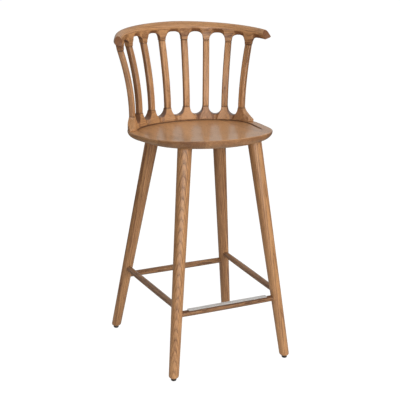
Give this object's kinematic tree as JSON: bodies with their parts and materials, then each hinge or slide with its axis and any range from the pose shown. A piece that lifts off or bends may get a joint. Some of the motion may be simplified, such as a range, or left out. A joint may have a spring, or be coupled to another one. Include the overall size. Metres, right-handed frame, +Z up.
{
  "type": "bar stool with footrest",
  "caption": "Wooden bar stool with a dished seat, a curved spindle back, splayed round legs and a stretcher frame with a steel footrest strip.",
  "frame": {"origin": "on the floor, below the middle of the bounding box", "axes": "+Z up; the front of the seat faces -Y and the curved back stands on the +Y side; +X to the right as seen from the front"},
  "size_m": [0.5454, 0.4896, 1.0478],
  "materials": {
    "stained_wood": "satin lacquer over brown stain",
    "dark_stained_wood": "satin lacquer over dark brown stain",
    "steel": "brushed",
    "glide_plastic": "matt"
  },
  "bodies": {
    "root": {"seat": "stained_wood", "back_base": "stained_wood", "crest_rail": "stained_wood", "spindle_1": "stained_wood", "spindle_2": "stained_wood", "spindle_3": "stained_wood", "spindle_4": "stained_wood", "spindle_5": "stained_wood", "spindle_6": "stained_wood", "spindle_7": "stained_wood", "spindle_8": "stained_wood", "leg_front_left": "stained_wood", "leg_front_right": "stained_wood", "leg_back_left": "stained_wood", "leg_back_right": "stained_wood", "stretcher_left": "dark_stained_wood", "stretcher_right": "dark_stained_wood", "stretcher_front": "dark_stained_wood", "stretcher_back": "dark_stained_wood", "footrest_strip": "steel", "strip_screw_1": "steel", "strip_screw_2": "steel", "strip_screw_3": "steel", "glide_front_left": "glide_plastic", "glide_front_right": "glide_plastic", "glide_back_left": "glide_plastic", "glide_back_right": "glide_plastic"}
  },
  "joints": []
}
